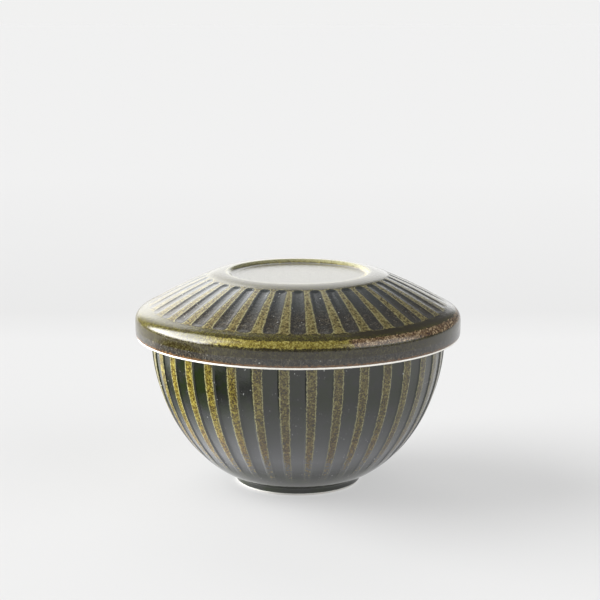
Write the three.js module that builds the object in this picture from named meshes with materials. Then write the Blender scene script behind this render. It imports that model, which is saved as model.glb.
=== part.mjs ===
// Lidded rice bowl: a fluted porcelain bowl and its overhanging cap lid.
// Millimetres, +Z up, the foot stands on z = 0 and both pieces turn about the Z axis.
import * as THREE from "three";

// ---- Ribs and flutes, shared by both pieces ----
const FLUTES = 36;
const PITCH = (2 * Math.PI) / FLUTES;
const SLOTS = 4;                // mesh columns per flute: two edges, two floor corners
const SEGMENTS = FLUTES * SLOTS;

// ---- Bowl, outside ----
const FOOT_FACE_INNER = 21.6;   // flat ring the bowl stands on
const FOOT_FACE_OUTER = 24.2;
const FOOT_CHAMFER = [25.1, 0.9]; // glaze stops above this soft corner
const FOOT_NECK = [25.4, 2.7];
const FOOT_FLARE = [26.8, 4.05]; // the neck turns out into the belly here
const BELLY_START = [29.0, 4.7];
const BELLY_LOW = [47.4, 14.3];
const BELLY_HIGH = [59.9, 39.5];
const BELLY_TOP = [58.6, 63.0]; // flutes end here; a plain band runs on to the lip
const BELLY_ROWS = 12;
const RIM_BAND_Z = 64.5;
const BOWL_FLUTE_DEPTH = 0.45;
const BOWL_FLUTE_WALL = 0.6;    // sideways run of a flute's sloping side
const BOWL_FLUTE_SHARE = 0.6;   // part of the pitch that is flute at the rim
const BOWL_RIB_TAPER = 0.06;    // extra share the flute takes near the foot
const BOWL_FLUTE_FOOT = [8.5, 19.0];   // heights where the flutes start and are full

// ---- Bowl, rim and inside ----
const LIP_R = 57.3;             // middle of the rounded lip
const LIP_Z = 67.25;
const LIP_RADIUS = 1.4;
const LIP_STEPS = 5;
const CAVITY_FLOOR_Z = 8.4;
const CAVITY_LOW = [20.6, 8.4];
const CAVITY_HIGH = [53.0, 4.5];
const CAVITY_ROWS = 9;
const FOOT_HOLLOW_Z = 3.3;      // glazed hollow inside the foot ring
const FOOT_HOLLOW_R = 19.6;
const FOOT_HOLLOW_SIDE = [20.9, 2.5];

// ---- Lid, outside ----
const LID_EDGE_Z = 60.4;
const LID_RADIUS = 65.0;
const EDGE_FACE_OUTER = 64.35;  // flat, bare lower edge
const EDGE_FACE_INNER = 62.1;
const EDGE_CORNER = [64.85, 61.5];
const SKIRT_Z = 64.2;           // full width from here up to the shoulder
const SHOULDER_START = [LID_RADIUS, 66.7];
const SHOULDER_SIDE = [LID_RADIUS, 70.5];
const SHOULDER_TOP = [61.7, 71.35];
const SHOULDER_ROWS = 5;
const CONE_START = [59.2, 72.7];
const CONE_END = [36.2, 84.2];
const CONE_BULGE = 0.4;         // how far the cone swells over its straight chord
const CONE_ROWS = 4;
const BROW_BEND = [33.2, 85.7]; // pulls the top of the cone over into the crest
const CREST = [28.6, 85.75];
const CREST_ROWS = 4;
const RECESS_EDGE = [27.4, 85.75];
const RECESS_CORNER = [27.1, 84.3];
const RECESS_FLOOR = [25.2, 84.3];
const RECESS_ROWS = 3;
const LID_FLUTE_DEPTH = 0.26;
const LID_FLUTE_WALL = 1.2;
const LID_FLUTE_WIDTH = [6.1, 4.4];    // flute width at its outer and inner end
const LID_FLUTE_RUN_IN = 0.035; // part of the cone in which a flute gets its full depth
const LID_FLUTE_RUN_OUT = 0.12; // part of the brow in which it dies away

// ---- Lid, underside ----
const LID_WALL = 3.9;
const SKIRT_INNER_TOP = [60.6, 66.4];
const EDGE_INNER_CORNER = [61.5, 61.4];
const CEILING_R = 29.0;
const CEILING_Z = 79.9;

// ---- Glaze colours ----
const BOWL_GLAZE = { color: 0x31362a, roughness: 0.16, metalness: 0.0 };
const LID_GLAZE = { color: 0x3c3f2c, roughness: 0.14, metalness: 0.0 };

const point = (r, z) => new THREE.Vector2(r, z);
const fromPair = (pair) => point(pair[0], pair[1]);

// 0 at `start`, 1 at `end`, flat outside; `start` may be larger than `end`.
function ramp(value, start, end) {
  return THREE.MathUtils.clamp((value - start) / (end - start), 0, 1);
}

// Points on a circular arc in the (r, z) half plane, both ends included.
function arc(r, z, radius, fromAngle, toAngle, steps) {
  const points = [];
  for (let i = 0; i <= steps; i += 1) {
    const angle = THREE.MathUtils.lerp(fromAngle, toAngle, i / steps);
    points.push(point(r + radius * Math.cos(angle), z + radius * Math.sin(angle)));
  }
  return points;
}

const cubic = (...pairs) => new THREE.CubicBezierCurve(...pairs.map(fromPair));
const quadratic = (...pairs) => new THREE.QuadraticBezierCurve(...pairs.map(fromPair));

// Points evenly spaced along a curve, both ends included.
function along(curve, rows) {
  return curve.getSpacedPoints(rows);
}

// Unit normals of the profile, pointing out of the clay.
function profileNormals(profile) {
  return profile.map((_, i) => {
    const before = profile[Math.max(i - 1, 0)];
    const after = profile[Math.min(i + 1, profile.length - 1)];
    const step = after.clone().sub(before).normalize();
    return point(step.y, -step.x);
  });
}

// Turns a closed profile round the axis and sinks the flutes into it.
// `fluteAt(p, i)` describes the flute at a profile point, its half widths in pitches.
function flutedTurning(profile, fluteAt) {
  const geometry = new THREE.LatheGeometry(profile, SEGMENTS);
  const normals = profileNormals(profile);
  const position = geometry.attributes.position;
  for (let column = 0; column <= SEGMENTS; column += 1) {
    const slot = column % SLOTS;
    const flute = Math.floor(column / SLOTS);
    for (let row = 0; row < profile.length; row += 1) {
      const { depth, edge, floor } = fluteAt(profile[row], row);
      const offset = [-edge, -floor, floor, edge][slot];
      const sunk = slot === 1 || slot === 2 ? depth : 0;
      const r = profile[row].x - normals[row].x * sunk;
      const z = profile[row].y - normals[row].y * sunk;
      const angle = (flute + offset) * PITCH;
      position.setXYZ(column * profile.length + row, r * Math.sin(angle), -r * Math.cos(angle), z);
    }
  }
  return geometry;
}

// Columns spaced evenly, where there is no flute.
const PLAIN_ROW = { depth: 0, edge: 3 / 8, floor: 1 / 8 };

// A flute `share` of a pitch wide at radius `r`, its side `wall` wide.
function fluteRow(depth, share, wall, r) {
  const edge = share / 2;
  return { depth, edge, floor: edge - wall / (r * PITCH) };
}

function bowlProfile() {
  const belly = cubic(BELLY_START, BELLY_LOW, BELLY_HIGH, BELLY_TOP);
  const cavity = cubic([LIP_R - LIP_RADIUS, LIP_Z], CAVITY_HIGH, CAVITY_LOW, [0, CAVITY_FLOOR_Z]);
  return {
    foot: [
      point(0, FOOT_HOLLOW_Z),
      point(FOOT_HOLLOW_R, FOOT_HOLLOW_Z),
      fromPair(FOOT_HOLLOW_SIDE),
      point(FOOT_FACE_INNER, 0),
      point(FOOT_FACE_OUTER, 0),
      fromPair(FOOT_CHAMFER),
      fromPair(FOOT_NECK),
      fromPair(FOOT_FLARE),
    ],
    belly: along(belly, BELLY_ROWS),
    rimBand: [point(BELLY_TOP[0], RIM_BAND_Z)],
    lip: arc(LIP_R, LIP_Z, LIP_RADIUS, 0, Math.PI, LIP_STEPS),
    cavity: along(cavity, CAVITY_ROWS).slice(1),
  };
}

function makeBowl() {
  const parts = bowlProfile();
  const profile = [...parts.foot, ...parts.belly, ...parts.rimBand, ...parts.lip, ...parts.cavity];
  const bellyStart = parts.foot.length;
  const bellyEnd = bellyStart + parts.belly.length;
  const fluteAt = (p, row) => {
    if (row < bellyStart || row >= bellyEnd) {
      return PLAIN_ROW;
    }
    const taper = BOWL_RIB_TAPER * (1 - ramp(p.x, BELLY_START[0], BELLY_TOP[0]));
    const depth = BOWL_FLUTE_DEPTH * ramp(p.y, ...BOWL_FLUTE_FOOT);
    return fluteRow(depth, BOWL_FLUTE_SHARE + taper, BOWL_FLUTE_WALL, p.x);
  };
  return flutedTurning(profile, fluteAt);
}

// The cone's chord as a vector from its outer to its inner end.
const coneChord = fromPair(CONE_END).sub(fromPair(CONE_START));

// The cone, slightly swollen between its two ends.
function coneCurve() {
  const outward = point(coneChord.y, -coneChord.x).normalize();
  const middle = fromPair(CONE_START).lerp(fromPair(CONE_END), 1 / 2);
  const pull = middle.addScaledVector(outward, 2 * CONE_BULGE);
  return quadratic(CONE_START, pull.toArray(), CONE_END);
}

// The outside from the shoulder up to the crest, and the rows between which the flutes run.
function lidOutside() {
  const shoulder = along(cubic(SHOULDER_START, SHOULDER_SIDE, SHOULDER_TOP, CONE_START), SHOULDER_ROWS);
  const cone = coneCurve();
  const brow = quadratic(CONE_END, BROW_BEND, CREST);
  const flutes = [cone.getPoint(LID_FLUTE_RUN_IN), ...along(cone, CONE_ROWS).slice(1)];
  const top = [brow.getPoint(LID_FLUTE_RUN_OUT), ...along(brow, CREST_ROWS).slice(1)];
  const points = [...shoulder, ...flutes, ...top];
  return { points, fluteStart: shoulder.length - 1, fluteEnd: shoulder.length + flutes.length };
}

// A point of the outside pushed down by one wall thickness.
function undersideOf(p) {
  return point(p.x, p.y - (LID_WALL * coneChord.length()) / -coneChord.x);
}

function lidUnderside(outside) {
  return [
    point(0, CEILING_Z),
    point(CEILING_R, CEILING_Z),
    undersideOf(fromPair(CONE_END)),
    undersideOf(outside.points[outside.fluteStart + 1]),
    fromPair(SKIRT_INNER_TOP),
    fromPair(EDGE_INNER_CORNER),
    point(EDGE_FACE_INNER, LID_EDGE_Z),
    point(EDGE_FACE_OUTER, LID_EDGE_Z),
    fromPair(EDGE_CORNER),
    point(LID_RADIUS, SKIRT_Z),
  ];
}

function makeLid() {
  const outside = lidOutside();
  const underside = lidUnderside(outside);
  const recess = along(cubic(CREST, RECESS_EDGE, RECESS_CORNER, RECESS_FLOOR), RECESS_ROWS).slice(1);
  const profile = [...underside, ...outside.points, ...recess, point(0, RECESS_FLOOR[1])];
  const start = underside.length + outside.fluteStart;
  const end = underside.length + outside.fluteEnd;
  const fluteAt = (p, row) => {
    if (row < start || row > end) {
      return PLAIN_ROW;
    }
    const depth = row === start || row === end ? 0 : LID_FLUTE_DEPTH;
    const width = THREE.MathUtils.lerp(...LID_FLUTE_WIDTH, ramp(p.x, CONE_START[0], CONE_END[0]));
    return fluteRow(depth, width / (p.x * PITCH), LID_FLUTE_WALL, p.x);
  };
  return flutedTurning(profile, fluteAt);
}

function makePiece(name, geometry, glaze) {
  geometry.computeVertexNormals();
  const mesh = new THREE.Mesh(geometry, new THREE.MeshStandardMaterial(glaze));
  mesh.name = name;
  return mesh;
}

const riceBowl = new THREE.Group();
riceBowl.name = "rice_bowl";
riceBowl.add(makePiece("bowl", makeBowl(), BOWL_GLAZE));
riceBowl.add(makePiece("lid", makeLid(), LID_GLAZE));

export default riceBowl;
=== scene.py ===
"""Lidded rice bowl: fluted porcelain under a dark green glaze that breaks olive where it runs thin.

The two visible pieces are turned about the frame's Z axis as fine polar meshes. Every vertex carries
four numbers: how far it lies inside a flute, whether it lies among the ribs, how sharply the clay
turns there and how far it is inside a bare patch. The glaze reads its colour from those numbers.
"""
import math

import bpy
import numpy as np
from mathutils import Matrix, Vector


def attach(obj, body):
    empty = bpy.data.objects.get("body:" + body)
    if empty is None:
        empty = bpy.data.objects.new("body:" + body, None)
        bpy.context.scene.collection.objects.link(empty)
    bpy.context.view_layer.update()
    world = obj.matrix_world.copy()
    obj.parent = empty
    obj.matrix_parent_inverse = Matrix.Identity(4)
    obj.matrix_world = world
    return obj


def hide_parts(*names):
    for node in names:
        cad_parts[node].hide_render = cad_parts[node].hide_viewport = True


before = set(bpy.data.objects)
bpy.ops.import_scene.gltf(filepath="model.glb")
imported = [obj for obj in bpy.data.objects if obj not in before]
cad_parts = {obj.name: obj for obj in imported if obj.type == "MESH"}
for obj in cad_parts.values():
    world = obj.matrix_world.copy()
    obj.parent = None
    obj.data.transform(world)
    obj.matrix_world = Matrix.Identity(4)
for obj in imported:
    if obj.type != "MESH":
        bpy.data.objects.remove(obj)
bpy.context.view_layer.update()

MM = 0.001

# ---- Ribs and flutes ----
FLUTES = 36
PITCH = 2 * math.pi / FLUTES
RIB_COLUMNS = (1.0, 0.5, 0.12)          # mesh columns on half a rib, in shares of it
WALL_COLUMNS = (0.1, 0.36, 0.64, 0.92)  # mesh columns down a flute's side, in shares of it

# ---- Bowl, mm ----
FOOT_HOLLOW_Z = 3.3
FOOT_GLAZE_Z = 1.0
BELLY = ((29.0, 4.7), (47.4, 14.3), (59.9, 39.5), (58.6, 63.0))
LIP = (57.3, 67.25, 1.4)     # centre r, z and radius of the rounded lip
CAVITY = ((55.9, 67.25), (53.0, 4.5), (20.6, 8.4), (0.0, 8.4))
BOWL_FLUTE_DEPTH = 0.45
BOWL_FLUTE_WALL = 0.8        # run of a flute's sloping side
BOWL_FLUTE_SHARE = 0.6       # part of the pitch that is flute at the rim
BOWL_RIB_TAPER = 0.06        # extra share that the flute takes near the foot
BOWL_FLUTE_FOOT = (8.5, 19.0)  # the ribs rise out of the belly between these heights
BOWL_RIB_FADE = (5.5, 30.0)    # and their pale glaze shows between these
BOWL_FLUTE_TOP_Z = 64.0
BOWL_WALL_MIDDLE = ((0, 5, 60), (27, 28, 57))  # heights, and the radius in the middle of the wall there
BOWL_ROWS = (1.15, 3.0)        # mesh rows outside and inside, mm apart
BOWL_CROWDED = (1.5, 6.5)      # mesh columns crowd at the flutes' sides above these heights,
LIP_EVEN = 1                   # and are even again this far from the lip's centre
LIP_THIN = (1.3, 0.9)          # how far over the lip's centre the glaze is thin, and how widely
FOOT_BARE_Z = 3                # bare porcelain only below this height,
FOOT_BARE_R = 21.3             # and outside this radius

# ---- Lid, mm ----
LID_EDGE_Z = 60.4
LID_RADIUS = 65.0
LID_GLAZE_Z = 61.2
SHOULDER = ((59.2, 72.7), (61.7, 71.35), (65.0, 70.5), (65.0, 66.7))
CONE_SAG = 0.4               # how far the cone bulges over its straight chord
BROW_START = (36.2, 84.2)
BROW_BEND = (33.2, 85.7)
CREST = (28.6, 85.75)
RECESS_FLOOR = (25.2, 84.3)
LID_WALL = 3.9
CEILING_Z = 79.9
LID_FLUTE_DEPTH = 0.26
LID_FLUTE_WALL = 2.1
LID_FLUTE_SHALLOW_END = 0.45   # part of the full depth where a flute begins at the shoulder
LID_FLUTE_DEEPENING = 7        # it has its full depth this far in
LID_FLUTE_OUTER_R = 59.4
LID_FLUTE_INNER_R = 35.6
LID_FLUTE_WIDTH = (6.1, 4.4)
CORNER_RADIUS = 1.6          # corners at the ends of a flute
LID_ROWS = (1.6, 0.4, 1.1)   # mesh rows underneath, near the ends of a flute and elsewhere, mm apart
LID_NEAR_END = 1.8
LID_UNDERSIDE_Z = 66
LID_CROWDED = (30, 34)       # mesh columns crowd at the flutes' sides outside these radii,
LID_EDGE_EVEN = 2.5          # and are even again at the edge, this wide
LID_HUB = 20                 # inside this radius the columns keep their angles
RIB_END = (0.3, 0.6)         # ribs begin this far before a flute's end and are full this far past it
SHOULDER_THIN = ((67.9, 68.7), (71.0, 70.3))   # heights at which thin glaze begins and ends
SHOULDER_R = 55
CREST_THIN = (0.9, 1.3)      # how far inside the crest the glaze is thinnest, and how widely
CREST_THINNESS = 0.8
LID_BARE_R = 61.4            # bare porcelain only outside this radius

# ---- Glaze numbers ----
FLUTE_BRINK = 0.12           # the clay begins to sink this far before a flute's edge
NOT_OUTSIDE = 2.0            # "flute" on surfaces that have none, as deep inside one
NOT_BARE = -5                # "bare" far from any bare patch


# ---------------------------------------------------------------- profiles (r, z in mm)

def arc(r, z, radius, start_deg, end_deg, steps=24):
    angles = np.radians(np.linspace(start_deg, end_deg, steps + 1))
    return np.stack([r + radius * np.cos(angles), z + radius * np.sin(angles)], axis=1)


def bezier(points, steps=120):
    t = np.linspace(0, 1, steps + 1)[:, None]
    levels = [np.array(p, float)[None] for p in points]
    while len(levels) > 1:
        levels = [(1 - t) * a + t * b for a, b in zip(levels, levels[1:])]
    return levels[0]


def rounded(corners):
    """A polyline whose corners (r, z, radius) are filleted; the first and last stay sharp."""
    corners = [np.array(c, float) for c in corners]
    path = [corners[0][None, :2]]
    for before, corner, after in zip(corners, corners[1:], corners[2:]):
        here = corner[:2]
        a = (before[:2] - here) / np.linalg.norm(before[:2] - here)
        b = (after[:2] - here) / np.linalg.norm(after[:2] - here)
        half = 0.5 * math.acos(np.clip(a @ b, -1, 1))
        reach = corner[2] / math.tan(half)
        path.append(bezier((here + a * reach, here, here + b * reach), 10))
    path.append(corners[-1][None, :2])
    return np.vstack(path)


def bowl_outline():
    foot = rounded([(0, FOOT_HOLLOW_Z, 0), (20.0, FOOT_HOLLOW_Z, 1.2), (21.4, 0, 0.35), (24.4, 0, 0.5),
                    (25.2, FOOT_GLAZE_Z, 0.8), (25.45, 3.1, 1.5), BELLY[0] + (0,)])
    r, z, radius = LIP
    return np.vstack([foot, bezier(BELLY), arc(r, z, radius, 0, 180), bezier(CAVITY)])


def lid_outline():
    cone_start, cone_end = np.array(SHOULDER[0]), np.array(BROW_START)
    chord = cone_end - cone_start
    outward = np.array([chord[1], -chord[0]]) / np.linalg.norm(chord)
    cone = bezier((cone_start, (cone_start + cone_end) / 2 + 2 * CONE_SAG * outward, cone_end))
    drop = LID_WALL * np.linalg.norm(chord) / -chord[0]
    slope = chord[1] / -chord[0]
    ceiling_edge = cone_end[0] + (cone_end[1] - drop - CEILING_Z) / slope
    outer = cone_start + [-0.8, 0.8 * slope - drop]
    underside = rounded([(0, CEILING_Z, 0), (ceiling_edge, CEILING_Z, 14), (*outer, 3), (60.6, 66.4, 3.0),
                         (61.5, 61.4, 0.4), (62.1, LID_EDGE_Z, 0.4), (64.35, LID_EDGE_Z, 0.4),
                         (64.85, 61.5, 0.8), (LID_RADIUS, 64.2, 2.0), SHOULDER[-1] + (0,)])
    brow = bezier((BROW_START, BROW_BEND, CREST), 60)
    (crest_r, crest_z), (floor_r, floor_z) = CREST, RECESS_FLOOR
    recess = bezier((CREST, (crest_r - 1.2, crest_z), (floor_r + 1.9, floor_z), RECESS_FLOOR), 60)
    return np.vstack([underside, bezier(SHOULDER[::-1], 60), cone, brow, recess, [(0, floor_z)]])


def resampled(outline, coarse, fine=0.13, turn=0.12, samples=6000, smoothing=61):
    """Rows along an outline, `coarse(r, z)` mm apart on straight runs and closer where it turns.

    Gives the rows and how far along the outline each of them is.
    """
    keep = np.r_[True, np.linalg.norm(np.diff(outline, axis=0), axis=1) > 1e-5]
    outline = outline[keep]
    length = np.r_[0, np.cumsum(np.linalg.norm(np.diff(outline, axis=0), axis=1))]
    s = np.linspace(0, length[-1], samples)
    dense = np.stack([np.interp(s, length, outline[:, k]) for k in (0, 1)], axis=1)
    heading = np.unwrap(np.arctan2(*np.gradient(dense, axis=0).T[::-1]))
    bend = np.abs(np.gradient(heading, s))
    window = np.hanning(smoothing)
    bend = np.convolve(bend, window / window.sum(), mode="same")
    step = np.clip(turn / np.maximum(bend, 1e-6), fine, coarse(dense[:, 0], dense[:, 1]))
    count = np.r_[0, np.cumsum((s[1] - s[0]) / step[1:])]
    rows = int(round(count[-1]))
    at = np.interp(np.linspace(0, count[-1], rows + 1), count, s)
    return np.stack([np.interp(at, s, dense[:, k]) for k in (0, 1)], axis=1), at


# ---------------------------------------------------------------- fine polar meshes

def smooth(x):
    """A soft step from 0 to 1, level at both ends."""
    x = np.clip(x, 0, 1)
    return x * x * x * (x * (6 * x - 15) + 10)


def lerp(a, b, t):
    return a + (b - a) * t


def column_shares(r, half_flute, wall_width):
    """Angles of one pitch's mesh columns, in pitches, on every row: crowded where the clay steps."""
    edge = half_flute[:, None]
    rib = edge + (0.5 - edge) * np.array(RIB_COLUMNS)
    reach = np.minimum(wall_width / (r * PITCH)[:, None], edge * 0.8)
    side = np.hstack([rib, edge - reach * np.array(WALL_COLUMNS)])
    return np.hstack([-side, np.zeros((len(r), 1)), side[:, :0:-1]])


def even_shares(count):
    """The same angles, spread evenly over the pitch."""
    return (np.arange(count) / count - 0.5)[None]


def signed_inside(across, down, half_width, length):
    """How far a point lies inside a flute with rounded corners, in mm; negative outside."""
    qx = np.abs(across) - (half_width - CORNER_RADIUS)
    qy = np.maximum(-down, down - length) + CORNER_RADIUS
    outside = np.hypot(np.maximum(qx, 0), np.maximum(qy, 0))
    return CORNER_RADIUS - outside - np.minimum(np.maximum(qx, qy), 0)


def turned_mesh(name, rows, half_flute, wall_width, warp, relief):
    """A closed body turned from `rows` (r, z in mm), its first and last row on the axis.

    `relief(across)` takes every vertex's distance from the middle of its flute, in mm, and gives the
    sinking of the surface and the glaze numbers there.
    """
    r, z = rows[1:-1].T
    heading = np.gradient(rows, axis=0)[1:-1]
    heading /= np.linalg.norm(heading, axis=1)[:, None]
    normal = np.stack([heading[:, 1], -heading[:, 0]], axis=1)
    crowded = column_shares(r, half_flute[1:-1], wall_width)
    shares = lerp(even_shares(crowded.shape[1]), crowded, warp[1:-1, None])
    across = shares * (r * PITCH)[:, None]
    sunk, layers = relief(across)
    radius = r[:, None] - normal[:, :1] * sunk
    height = z[:, None] - normal[:, 1:] * sunk
    ring = FLUTES * shares.shape[1]
    angle = (np.arange(FLUTES)[None, :, None] + shares[:, None, :]) * PITCH
    angle = angle.reshape(len(r), ring)

    def flat(values):
        everywhere = np.broadcast_to(values, shares.shape)[:, None, :]
        return np.repeat(everywhere, FLUTES, axis=1).reshape(len(r), ring)

    points = np.stack([flat(radius) * np.sin(angle), -flat(radius) * np.cos(angle), flat(height)], axis=2)
    poles = np.array([[0, 0, rows[0, 1]], [0, 0, rows[-1, 1]]])
    vertices = np.vstack([points.reshape(-1, 3), poles]) * MM

    here = np.arange(ring)
    after = np.roll(here, -1)
    start = (np.arange(len(r) - 1) * ring)[:, None]
    quads = np.stack([start + here, start + after, start + ring + after, start + ring + here], axis=2)
    last = (len(r) - 1) * ring
    low = np.stack([np.full(ring, len(r) * ring), after, here], axis=1)
    high = np.stack([last + here, last + after, np.full(ring, len(r) * ring + 1)], axis=1)
    mesh = bpy.data.meshes.new(name)
    mesh.from_pydata(vertices.tolist(), [], quads.reshape(-1, 4).tolist() + low.tolist() + high.tolist())
    for label, values in layers.items():
        layer = mesh.attributes.new(label, "FLOAT", "POINT")
        spread = flat(values).reshape(-1)
        layer.data.foreach_set("value", np.r_[spread, spread[0], spread[-1]].astype(np.float32))
    mesh.shade_smooth()
    mesh.validate()
    piece = bpy.data.objects.new(name, mesh)
    bpy.context.collection.objects.link(piece)
    return piece


def nearness(value, centre, width):
    """1 at `centre`, falling off smoothly over `width`."""
    return np.exp(-((value - centre) / width) ** 2)


def step_up(value, low, high):
    return smooth((value - low) / (high - low))


def make_bowl():
    lip_z = LIP[1]

    def spacing(r, z):
        is_outside = (z < lip_z) & (r > np.interp(z, *BOWL_WALL_MIDDLE))
        return np.where(is_outside, *BOWL_ROWS)

    rows, at = resampled(bowl_outline(), spacing)
    r, z = rows.T
    outside = np.arange(len(rows)) < np.argmax(z)
    rise = np.clip((r - BELLY[0][0]) / (BELLY[3][0] - BELLY[0][0]), 0, 1)
    half_flute = 0.5 * (BOWL_FLUTE_SHARE + BOWL_RIB_TAPER * (1 - rise))
    belly = np.flatnonzero(outside & (r > BELLY[0][0]))
    flute_end = np.interp(BOWL_FLUTE_TOP_Z, z[belly], at[belly])
    fade = step_up(z, *BOWL_FLUTE_FOOT) * outside
    crowded = step_up(z, lip_z + LIP_EVEN, lip_z - LIP_EVEN) * step_up(z, *BOWL_CROWDED)
    warp = np.where(outside, crowded, 0)
    rib = np.where(outside, step_up(z, *BOWL_RIB_FADE), 0)
    thin = nearness(z, lip_z + LIP_THIN[0], LIP_THIN[1])
    in_hollow = 2 * np.clip(FOOT_BARE_R - r, 0, 2)
    bare = np.where(z < FOOT_BARE_Z, FOOT_GLAZE_Z - z - in_hollow, NOT_BARE)
    inner = (slice(1, -1), None)

    def relief(across):
        half_width = (half_flute * r * PITCH)[inner]
        inside = signed_inside(across, at[inner] - at[belly[0]], half_width, flute_end - at[belly[0]])
        inside = np.where(outside[inner], inside, NOT_OUTSIDE)
        slope = step_up(inside, -FLUTE_BRINK, BOWL_FLUTE_WALL - FLUTE_BRINK)
        sunk = BOWL_FLUTE_DEPTH * fade[inner] * slope
        return sunk, {"flute": inside, "rib": rib[inner], "thin": thin[inner], "bare": bare[inner]}

    return turned_mesh("bowl_body", rows, half_flute, BOWL_FLUTE_WALL, warp, relief)


def make_lid():
    underneath, near_ends, elsewhere = LID_ROWS

    def spacing(r, z):
        to_end = np.minimum(np.abs(r - LID_FLUTE_OUTER_R), np.abs(r - LID_FLUTE_INNER_R))
        on_top = np.where(to_end < LID_NEAR_END, near_ends, elsewhere)
        return np.where(z < LID_UNDERSIDE_Z, underneath, on_top)

    rows, at = resampled(lid_outline(), spacing)
    r, z = rows.T
    outside = np.arange(len(rows)) >= np.argmax(r)
    cone = np.flatnonzero(outside & (r > CREST[0]))
    begin = np.interp(-LID_FLUTE_OUTER_R, -r[cone], at[cone])
    end = np.interp(-LID_FLUTE_INNER_R, -r[cone], at[cone])
    run = np.clip((at - begin) / (end - begin), 0, 1)
    half_width = 0.5 * lerp(LID_FLUTE_WIDTH[0], LID_FLUTE_WIDTH[1], run)
    half_flute = half_width / (np.maximum(r, LID_HUB) * PITCH)
    warp = outside * step_up(r, LID_RADIUS, LID_RADIUS - LID_EDGE_EVEN) * step_up(r, *LID_CROWDED)
    before, past = RIB_END
    rib = outside * step_up(at, begin - before, begin + past) * step_up(at, end + before, end - past)
    over, under = SHOULDER_THIN
    shoulder = outside * step_up(z, *over) * step_up(z, *under) * (r > SHOULDER_R)
    thin = shoulder + outside * CREST_THINNESS * nearness(r, CREST[0] - CREST_THIN[0], CREST_THIN[1])
    bare = np.where(r > LID_BARE_R, LID_GLAZE_Z - z, NOT_BARE)
    inner = (slice(1, -1), None)

    def relief(across):
        inside = signed_inside(across, (at - begin)[inner], half_width[inner], end - begin)
        inside = np.where(outside[inner], inside, NOT_OUTSIDE)
        sunk = LID_FLUTE_DEPTH * step_up(inside, -FLUTE_BRINK, LID_FLUTE_WALL - FLUTE_BRINK)
        share = lerp(LID_FLUTE_SHALLOW_END, 1, step_up(at - begin, 0, LID_FLUTE_DEEPENING))[inner]
        sunk = np.where(outside[inner], sunk * share, 0)
        return sunk, {"flute": inside, "rib": rib[inner], "thin": thin[inner], "bare": bare[inner]}

    return turned_mesh("lid_body", rows, half_flute, LID_FLUTE_WALL, warp, relief)


# ---------------------------------------------------------------- glaze material

class Nodes:
    """Small helper that adds and links shader nodes."""

    def __init__(self, material):
        material.use_nodes = True
        self.tree = material.node_tree
        self.tree.nodes.clear()

    def add(self, kind, inputs=None, **settings):
        node = self.tree.nodes.new(kind)
        for key, value in settings.items():
            setattr(node, key, value)
        for key, value in (inputs or {}).items():
            if isinstance(value, bpy.types.NodeSocket):
                self.tree.links.new(value, node.inputs[key])
            else:
                node.inputs[key].default_value = value
        return node

    def math(self, operation, a, b=0.0, clamp=False):
        return self.add("ShaderNodeMath", {0: a, 1: b}, operation=operation, use_clamp=clamp).outputs[0]

    def attribute(self, name):
        return self.add("ShaderNodeAttribute", attribute_name=name).outputs["Fac"]

    def noise(self, coords, scale, detail=2.0, roughness=0.5, distortion=0.0):
        inputs = {"Vector": coords, "Scale": scale, "Detail": detail, "Roughness": roughness,
                  "Distortion": distortion}
        return self.add("ShaderNodeTexNoise", inputs).outputs["Fac"]

    def remap(self, value, low, high, to_low=0.0, to_high=1.0, smooth_step=False):
        kind = "SMOOTHSTEP" if smooth_step else "LINEAR"
        inputs = {"Value": value, "From Min": low, "From Max": high, "To Min": to_low, "To Max": to_high}
        return self.add("ShaderNodeMapRange", inputs, interpolation_type=kind).outputs["Result"]

    def ramp(self, value, stops):
        node = self.add("ShaderNodeValToRGB", {"Fac": value})
        elements = node.color_ramp.elements
        while len(elements) < len(stops):
            elements.new(0.5)
        for element, (place, colour) in zip(elements, stops):
            element.position = place
            element.color = (*colour, 1) if isinstance(colour, tuple) else (colour,) * 3 + (1,)
        return node.outputs["Color"]

    def mix(self, factor, a, b):
        return self.add("ShaderNodeMix", {0: factor, 6: a, 7: b}, data_type="RGBA").outputs[2]

    def tint(self, factor, colour, by):
        return self.add("ShaderNodeMix", {0: factor, 6: colour, 7: by}, data_type="RGBA",
                        blend_type="MULTIPLY").outputs[2]

    def mix_value(self, factor, a, b):
        return self.add("ShaderNodeMix", {0: factor, 2: a, 3: b}).outputs[0]


# Colours of the glaze, by a noise value where it is grainy
RIB_GRAIN = ((0.41, (0.020, 0.013, 0.004)), (0.47, (0.046, 0.033, 0.009)), (0.53, (0.077, 0.062, 0.016)),
             (0.59, (0.150, 0.130, 0.043)))
LID_RIB_GRAIN = ((0.41, (0.042, 0.029, 0.009)), (0.47, (0.085, 0.066, 0.020)),
                 (0.53, (0.135, 0.112, 0.036)), (0.59, (0.240, 0.205, 0.082)))
POOL_GRAIN = ((0.40, (0.009, 0.007, 0.005)), (0.49, (0.024, 0.019, 0.013)), (0.57, (0.050, 0.042, 0.028)),
              (0.66, (0.130, 0.120, 0.092)))
BREAK_GRAIN = ((0.38, (0.046, 0.029, 0.004)), (0.46, (0.115, 0.086, 0.011)),
               (0.53, (0.200, 0.167, 0.026)), (0.62, (0.350, 0.310, 0.100)))
# copper-brown glaze whose cream specks are a painted highlight of the side lamp
COPPER_AND_GLINT_GRAIN = ((0.39, (0.024, 0.010, 0.006)), (0.46, (0.075, 0.038, 0.016)),
                (0.53, (0.170, 0.104, 0.046)), (0.61, (0.480, 0.375, 0.235)))
BAND_GRAIN = ((0.40, (0.022, 0.015, 0.004)), (0.50, (0.038, 0.032, 0.006)), (0.60, (0.072, 0.065, 0.012)))
SIDE_GRAIN = ((0.40, (0.011, 0.007, 0.002)), (0.50, (0.021, 0.017, 0.005)), (0.60, (0.046, 0.041, 0.015)))
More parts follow.
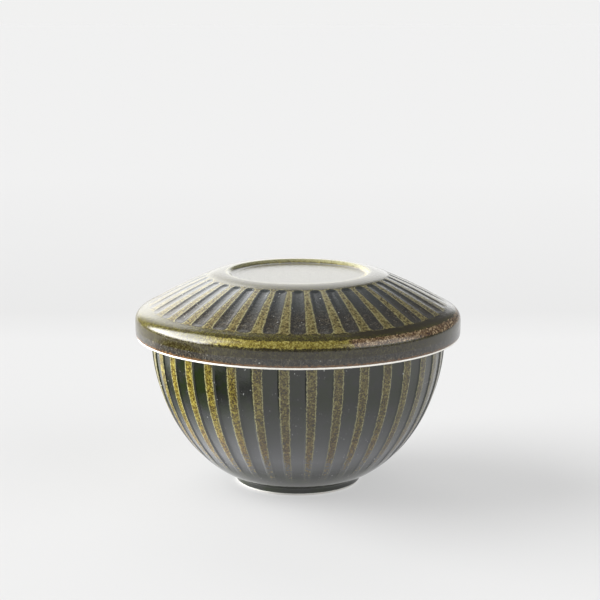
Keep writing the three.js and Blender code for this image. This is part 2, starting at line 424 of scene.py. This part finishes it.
POOL_GREEN = (0.009, 0.013, 0.004, 1)
POOL_GREY = (0.013, 0.014, 0.012, 1)
POOL_BLUE = (0.042, 0.046, 0.049, 1)
POOL_SPECK = (0.300, 0.310, 0.290, 1)
BURNT = (0.012, 0.008, 0.003, 1)
EDGE_OLIVE = (0.250, 0.240, 0.120, 1)
CREST_OLIVE = (0.270, 0.260, 0.140, 1)
RUST = (0.14, 0.070, 0.026, 1)
# the next colour is a lighter blue-grey toward the bowl's foot: partly milky glaze, partly painted sheen
# standing for the pale floor's reflection
MILKY_AND_SHEEN = (0.158, 0.160, 0.172, 1)
MILKY_AND_SHEEN_BY_HEIGHT = ((0.0110, 0.0), (0.0180, 0.66), (0.030, 0.27), (0.045, 0.0))    # m, share
LID_PORCELAIN = (0.84, 0.82, 0.77, 1)
FOOT_PORCELAIN = (0.50, 0.49, 0.46, 1)
# Tints that multiply the ribs' colour
PAINTED_LEFT_LIGHT = (1.42, 1.38, 0.82, 1)    # painted light: the bowl's ribs made lighter and yellower on the left, the side the window lights
RUSSET = (1.10, 0.88, 0.74, 1)    # and browner toward the foot
PAINTED_LEFT_SHADE = (0.70, 0.66, 0.58, 1)     # painted shade: the lid's ribs darker on the left, offsetting the left fill's light there

# Noises: scale per metre, detail, roughness, distortion
CLOUD = (150, 4, 0.6)
PATCHES = (520, 3, 0.55)
MOTTLE = (950, 3, 0.6, 0.5)
GRAIN = (2100, 2, 0.6)
SPECK = (1300, 0)

# Where the glaze changes: (middle, softness) of each step, upward, or downward where softness is negative
# by distance inside a flute, mm
BOWL_POOL = (-0.08, 0.35)
LID_POOL = (0.05, 0.35)
FLUTE_RIM = ((-0.50, 0.3), (-0.08, -0.2))
RIB_MATTE = (0.5, -0.8)
LID_DEEP = (0.6, 1.6)
# by height, m
BROWN_POOL = (0.0785, -0.0060)    # the outer half of the lid's flutes
BURNT_LEDGE = ((SHOULDER[1][1] * MM, 0.0012), (0.0740, -0.0010))
SKIRT = (SHOULDER[3][1] * MM + 0.0015, -0.002)
RUSSET_BELOW = (0.030, -0.014)
CREST_ABOVE = (CREST[1] * MM - 0.0009, 0.0006)
# by degrees round from the front, negative to its left
# the copper-brown side begins sharply at 18 degrees, where the side lamp's highlight begins: a painted
# highlight edge over real copper-brown glaze
COPPER_AND_GLINT_SIDE = ((18, 3), (125, -40))
# the left side, where the ribs' colour carries painted light on the bowl and painted shade on the lid
LEFT_PAINT_SIDE = ((-18, -24), (-125, 50))
# the window's side: the shoulder's yellow break is held back here as painted shade, and the glaze is
# glossier and less pitted
WINDOW_SIDE = ((-31, -12), (-135, 30))
# by the other numbers that the vertices carry
ON_RIB = ((0.5, 0.35), (0.04, 0.06))
BREAKING = ((0.5, 0.5), (0.05, 0.1))
ON_CREST = (0.3, 0.3)
RUSTY = (-0.70, 0.8)
UNCOVERED = (0.0, 0.12)
# by a noise
GREY_CLOUD = (0.5, 0.3)
SPECK_CORE = (0.79, 0.05)
SPECK_CLUSTER = (0.56, 0.08)
RIM_GRAIN = (0.43, 0.2)
CREST_GRAIN = (0.42, 0.2)
PATCH_RANGE = (0.35, 0.65)

# Gloss and relief
GLAZE_IOR = 1.68
BOWL_GLOSS = 0.09
LID_GLOSS = (0.10, 0.17)      # roughness on the lid, shallow and deep in its flutes
MATTE_ROUGHNESS = 0.22
BARE_ROUGHNESS = 0.40         # what bare porcelain adds
BOWL_PITS = (0.35, 1.2)       # how pitted the glossy and the matte glaze are
LID_PITS = (0.7, 0.8)
BUMP_STRENGTH = 0.35
BUMP_DISTANCE = 0.0001        # m


def make_glaze(name, is_lid):
    """Olive glaze: dark in the flutes, grainy and pale on the ribs, yellow or copper-brown on sharp turns.
    It also carries painted light: a painted highlight in the copper-brown glaze, painted light and shade on
    the left, and a painted sheen toward the bowl's foot.
    """
    material = bpy.data.materials.new(name)
    n = Nodes(material)
    coords = n.add("ShaderNodeTexCoord").outputs["Object"]
    x, y, z = n.add("ShaderNodeSeparateXYZ", {0: coords}).outputs
    flute, rib, thin, bare = (n.attribute(k) for k in ("flute", "rib", "thin", "bare"))
    cloud, patches, mottle, grain = (n.noise(coords, *kind) for kind in (CLOUD, PATCHES, MOTTLE, GRAIN))
    fine = n.mix_value(0.5, mottle, grain)
    side = n.math("DEGREES", n.math("ARCTAN2", x, n.math("MULTIPLY", y, -1.0)))

    def above(value, middle, softness):
        return n.remap(value, middle - softness / 2, middle + softness / 2, smooth_step=True)

    def both(value, first, second):
        return n.math("MULTIPLY", above(value, *first), above(value, *second))

    def sway(value, amount):
        return n.remap(value, 0, 1, -amount, amount)

    def swayed(value, noise, amount):
        return n.math("ADD", value, sway(noise, amount))

    def share(mask, low, high):
        return n.remap(mask, 0, 1, low, high)

    # where ribs, flutes and the glaze's kinds lie
    place = n.math("ADD", flute, n.math("ADD", sway(patches, 0.3), sway(mottle, 0.5)))
    on_rib = n.math("MULTIPLY", above(swayed(rib, mottle, 1.6), *ON_RIB[0]), above(rib, *ON_RIB[1]))
    in_flute = above(place, *(LID_POOL if is_lid else BOWL_POOL))
    # copper-brown side: real copper-brown glaze, with a painted highlight at its sharp start
    coppery_and_glint = n.math("MULTIPLY", above(swayed(side, patches, 4.0), *COPPER_AND_GLINT_SIDE[0]),
                     above(side, *COPPER_AND_GLINT_SIDE[1]))
    # left side mask: painted light on the bowl's ribs, painted shade on the lid's
    left_paint = both(side, *LEFT_PAINT_SIDE)
    # window side: the yellow break held back here is painted shade; this mask also makes the glaze glossier
    # and less pitted
    window_side = both(side, *WINDOW_SIDE)
    breaking = n.math("MULTIPLY", above(swayed(thin, mottle, 0.7), *BREAKING[0]), above(thin, *BREAKING[1]))
    blend = swayed(fine, cloud, 0.07)

    # pools in the flutes, and the smooth clay beyond them
    pool = n.mix(above(cloud, *GREY_CLOUD), POOL_GREEN, POOL_GREY)
    open_clay = pool
    if is_lid:
        pool = n.mix(0.6, pool, POOL_BLUE)
        brown = n.math("MULTIPLY", above(z, *BROWN_POOL), n.remap(patches, *PATCH_RANGE, 0.55, 1.0))
        pool = n.mix(brown, pool, n.ramp(fine, POOL_GRAIN))
        band = n.mix(above(z, *SKIRT), n.ramp(blend, BAND_GRAIN), n.ramp(blend, SIDE_GRAIN))
        burnt = n.math("MULTIPLY", coppery_and_glint, both(z, *BURNT_LEDGE))
        open_clay = n.mix(n.math("MULTIPLY", burnt, 0.8), band, BURNT)
    specks = n.math("MULTIPLY", above(n.noise(coords, *SPECK), *SPECK_CORE), above(cloud, *SPECK_CLUSTER))
    pool = n.mix(specks, pool, POOL_SPECK)

    # ribs, and the pale rim along each flute
    # the ribs' tint on the left is painted light on the bowl and painted shade on the lid
    ribs = n.tint(left_paint, n.ramp(blend, LID_RIB_GRAIN if is_lid else RIB_GRAIN), PAINTED_LEFT_SHADE if is_lid else PAINTED_LEFT_LIGHT)
    if not is_lid:
        ribs = n.tint(above(z, *RUSSET_BELOW), ribs, RUSSET)
    colour = n.mix(in_flute, n.mix(on_rib, open_clay, ribs), pool)
    rim = n.math("MULTIPLY", both(place, *FLUTE_RIM), share(on_rib, 0.15, 0.75))
    colour = n.mix(n.math("MULTIPLY", rim, above(grain, *RIM_GRAIN)), colour, EDGE_OLIVE)

    # the glaze breaks yellow on sharp turns and copper-brown on one side, with a painted highlight there; on
    # the window's side the yellow is held back, a painted shade
    broken = n.mix(coppery_and_glint, n.ramp(blend, BREAK_GRAIN), n.ramp(blend, COPPER_AND_GLINT_GRAIN))
    colour = n.mix(n.math("MULTIPLY", breaking, share(window_side, 0.95, 0.05)), colour, broken)

    # pale on the lid's crest and rusty along its bare edge; toward the bowl's foot a lighter blue-grey,
    # partly milky glaze and partly painted sheen of the pale floor; bare porcelain
    if is_lid:
        crest = n.math("MULTIPLY", above(z, *CREST_ABOVE), above(thin, *ON_CREST))
        colour = n.mix(n.math("MULTIPLY", crest, above(grain, *CREST_GRAIN)), colour, CREST_OLIVE)
        rusty = above(swayed(bare, mottle, 1.2), *RUSTY)
        colour = n.mix(n.math("MULTIPLY", rusty, 0.8), colour, RUST)
    else:
        # toward the foot the glaze turns lighter blue-grey: partly milky glaze, partly painted sheen of the
        # floor
        grainy = n.math("SUBTRACT", on_rib, in_flute, clamp=True)
        haze_and_sheen = n.math("MULTIPLY", n.ramp(z, MILKY_AND_SHEEN_BY_HEIGHT), share(grainy, 1.0, 0.25))
        colour = n.mix(haze_and_sheen, colour, MILKY_AND_SHEEN)
    uncovered = above(swayed(bare, patches, 0.12), *UNCOVERED)
    colour = n.mix(uncovered, colour, LID_PORCELAIN if is_lid else FOOT_PORCELAIN)

    # matte and pitted where it is grainy, glossy elsewhere
    grains = n.math("MULTIPLY", breaking, share(window_side, 1.0, 0.15))
    matte = n.math("MAXIMUM", n.math("MULTIPLY", on_rib, above(place, *RIB_MATTE)), grains)
    gloss = share(above(flute, *LID_DEEP), *LID_GLOSS) if is_lid else BOWL_GLOSS
    rough = n.math("ADD", n.mix_value(matte, gloss, MATTE_ROUGHNESS),
                   n.math("MULTIPLY", uncovered, BARE_ROUGHNESS))
    calm = share(n.math("MULTIPLY", window_side, breaking), 1.0, 0.3)
    pits = n.math("MULTIPLY", n.math("MULTIPLY", sway(mottle, 1.0), calm),
                  share(matte, *(LID_PITS if is_lid else BOWL_PITS)))
    height = n.math("ADD", n.math("ADD", sway(patches, 0.5), pits), sway(grain, 0.3))
    bump = n.add("ShaderNodeBump", {"Strength": BUMP_STRENGTH, "Distance": BUMP_DISTANCE, "Height": height})
    shader = n.add("ShaderNodeBsdfPrincipled", {"Base Color": colour, "Roughness": rough,
                                                "Normal": bump.outputs["Normal"], "IOR": GLAZE_IOR})
    n.add("ShaderNodeOutputMaterial", {"Surface": shader.outputs[0]})
    return material


# ---------------------------------------------------------------- floor, light and camera

CAMERA_DISTANCE = 0.6567     # m
CAMERA_HEIGHT = 0.20265      # m
CAMERA_PITCH = 11.10         # degrees below level
CAMERA_YAW = -0.07           # degrees
CAMERA_LENS = 100.3          # mm
SENSOR_WIDTH = 36.0          # mm

FLOOR_REACH = 6.0            # m to every side
FLOOR_GAP = 0.0001
FLOOR_ROUGHNESS = 0.6
BLACK = (0, 0, 0, 1)
DARK_CARD = ((-0.56, -0.17), (-0.04, 0.10))    # corners on the floor, m
CARD_BLACK = (0.02, 0.02, 0.02, 1)
CARD_SOFTNESS = 0.06         # m
FILL_SIZE = 0.38             # m
FILLS = (((-1.13, 0.22, 0.13), 66), ((0.25, -1.20, 0.16), 5.5))    # place, W
FLOOR_ALBEDO = 0.30
FLOOR_GLOW = 0.48           # the floor is a light table, so shadows on it stay faint
FLOOR_TONES = ((0.26, 1.0), (0.34, 0.94), (0.60, 0.97), (1.0, 1.0))    # by distance behind the object, m

# Light by direction: strength at its lower and upper edge, then (from, to, softness at either end)
# in degrees across (0 behind the object, negative to its left) and up
ROOM_LIGHT = 0.2
LIGHT_COLOUR = (1, 1, 0.995, 1)
BACKDROP_LIGHT = 0.88        # what the camera sees beyond the floor
WINDOW = ((12.5, 3.0), (-113, -53, 8, 14), (11, 58, 12, 4))
WINDOW_SLANT = (-61, 0.25)   # its top edge comes down from this azimuth on, degrees per degree
WALL = ((1.6, 1.5), (-25, 16, 8, 10), (-4, 57, 4, 8))
PANE = ((0.5, 1.9), (-34, -12, 8, 6), (8, 44, 12, 10))
SIDE_LAMP = ((1.8, 1.8), (86, 141, 10, 2), (10, 50, 12, 12))


def make_camera():
    data = bpy.data.cameras.new("camera")
    data.lens = CAMERA_LENS
    data.sensor_width = SENSOR_WIDTH
    camera = bpy.data.objects.new("camera", data)
    camera.location = (0, -CAMERA_DISTANCE, CAMERA_HEIGHT)
    camera.rotation_euler = (math.radians(90 - CAMERA_PITCH), 0, math.radians(CAMERA_YAW))
    bpy.context.collection.objects.link(camera)
    bpy.context.scene.camera = camera


def make_floor():
    reach = FLOOR_REACH
    mesh = bpy.data.meshes.new("floor")
    corners = [(-reach, -reach, 0), (reach, -reach, 0), (reach, reach, 0), (-reach, reach, 0)]
    mesh.from_pydata(corners, [], [(0, 1, 2, 3)])
    floor = bpy.data.objects.new("floor", mesh)
    floor.location.z = -FLOOR_GAP
    material = bpy.data.materials.new("pale_floor")
    n = Nodes(material)
    depth = n.add("ShaderNodeSeparateXYZ", {0: n.add("ShaderNodeTexCoord").outputs["Object"]}).outputs["Y"]
    tone = n.ramp(depth, FLOOR_TONES)
    shader = n.add("ShaderNodeBsdfPrincipled", {
        "Base Color": n.mix(FLOOR_ALBEDO, BLACK, tone), "Roughness": FLOOR_ROUGHNESS,
        "Specular IOR Level": 0.0, "Emission Color": tone, "Emission Strength": FLOOR_GLOW})
    n.add("ShaderNodeOutputMaterial", {"Surface": shader.outputs[0]})
    mesh.materials.append(material)
    bpy.context.collection.objects.link(floor)


def make_dark_card():
    """A black card lying beside the bowl, seen only in its glaze, so that its left flutes stay deep."""
    mesh = bpy.data.meshes.new("dark_card")
    (x0, y0), (x1, y1) = DARK_CARD
    mesh.from_pydata([(x0, y0, 0), (x1, y0, 0), (x1, y1, 0), (x0, y1, 0)], [], [(0, 1, 2, 3)])
    card = bpy.data.objects.new("dark_card", mesh)
    card.location.z = FLOOR_GAP
    material = bpy.data.materials.new("black_card")
    n = Nodes(material)
    x, y, _ = n.add("ShaderNodeSeparateXYZ", {0: n.add("ShaderNodeTexCoord").outputs["Object"]}).outputs
    cover = 1.0
    for place, low, high in ((x, x0, x1), (y, y0, y1)):
        cover = n.math("MULTIPLY", cover, n.remap(place, low, low + CARD_SOFTNESS, smooth_step=True))
        cover = n.math("MULTIPLY", cover, n.remap(place, high, high - CARD_SOFTNESS, smooth_step=True))
    black = n.add("ShaderNodeBsdfDiffuse", {"Color": CARD_BLACK}).outputs[0]
    clear = n.add("ShaderNodeBsdfTransparent").outputs[0]
    shader = n.add("ShaderNodeMixShader", {0: cover, 1: clear, 2: black})
    n.add("ShaderNodeOutputMaterial", {"Surface": shader.outputs[0]})
    mesh.materials.append(material)
    card.visible_camera = card.visible_diffuse = card.visible_shadow = card.visible_transmission = False
    bpy.context.collection.objects.link(card)


def make_fills(pieces):
    """Soft lamps, left and front: they light the pieces only, and aren't mirrored in the glaze."""
    lit = bpy.data.collections.new("lit_by_fills")
    for piece in pieces:
        lit.objects.link(piece)
    for place, power in FILLS:
        data = bpy.data.lights.new("fill", "AREA")
        data.size = FILL_SIZE
        data.energy = power
        lamp = bpy.data.objects.new("fill", data)
        lamp.location = place
        lamp.rotation_euler = (-Vector(place)).to_track_quat("-Z", "Y").to_euler()
        lamp.visible_glossy = False
        lamp.light_linking.receiver_collection = lit
        bpy.context.collection.objects.link(lamp)


def make_world():
    """A dim room: a wide window left, a wall and a pane of light behind, a soft lamp at the right."""
    world = bpy.data.worlds.new("studio")
    bpy.context.scene.world = world
    n = Nodes(world)
    direction = n.add("ShaderNodeSeparateXYZ", {0: n.add("ShaderNodeTexCoord").outputs["Generated"]})
    x, y, z = direction.outputs
    azimuth = n.math("DEGREES", n.math("ARCTAN2", x, y))
    elevation = n.math("DEGREES", n.math("ARCSINE", z))

    def band(value, low, high, soft_low, soft_high):
        rise = n.remap(value, low - soft_low / 2, low + soft_low / 2, smooth_step=True)
        fall = n.remap(value, high + soft_high / 2, high - soft_high / 2, smooth_step=True)
        return n.math("MULTIPLY", rise, fall)

    slant_from, slant = WINDOW_SLANT
    past = n.math("MAXIMUM", n.math("SUBTRACT", azimuth, slant_from), 0.0)
    slanted = n.math("ADD", elevation, n.math("MULTIPLY", past, slant))
    light = ROOM_LIGHT
    lights = ((WINDOW, slanted), (WALL, elevation), (PANE, elevation), (SIDE_LAMP, elevation))
    for ((low, high), across, up), height in lights:
        patch = n.math("MULTIPLY", band(azimuth, *across), band(height, *up))
        strength = n.remap(elevation, up[0], up[1], low, high)
        light = n.math("ADD", light, n.math("MULTIPLY", patch, strength))
    seen = n.add("ShaderNodeLightPath").outputs["Is Camera Ray"]
    strength = n.add("ShaderNodeMix", {0: seen, 2: light, 3: BACKDROP_LIGHT}).outputs[0]
    shader = n.add("ShaderNodeBackground", {"Color": LIGHT_COLOUR, "Strength": strength})
    n.add("ShaderNodeOutputWorld", {"Surface": shader.outputs[0]})


bowl = make_bowl()
lid = make_lid()
bowl.data.materials.append(make_glaze("bowl_glaze", False))
lid.data.materials.append(make_glaze("lid_glaze", True))
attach(bowl, "bowl")
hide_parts("bowl")
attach(lid, "lid")
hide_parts("lid")

make_camera()
make_floor()
make_dark_card()
make_fills((bowl, lid))
make_world()
bpy.context.scene.view_settings.view_transform = "Standard"
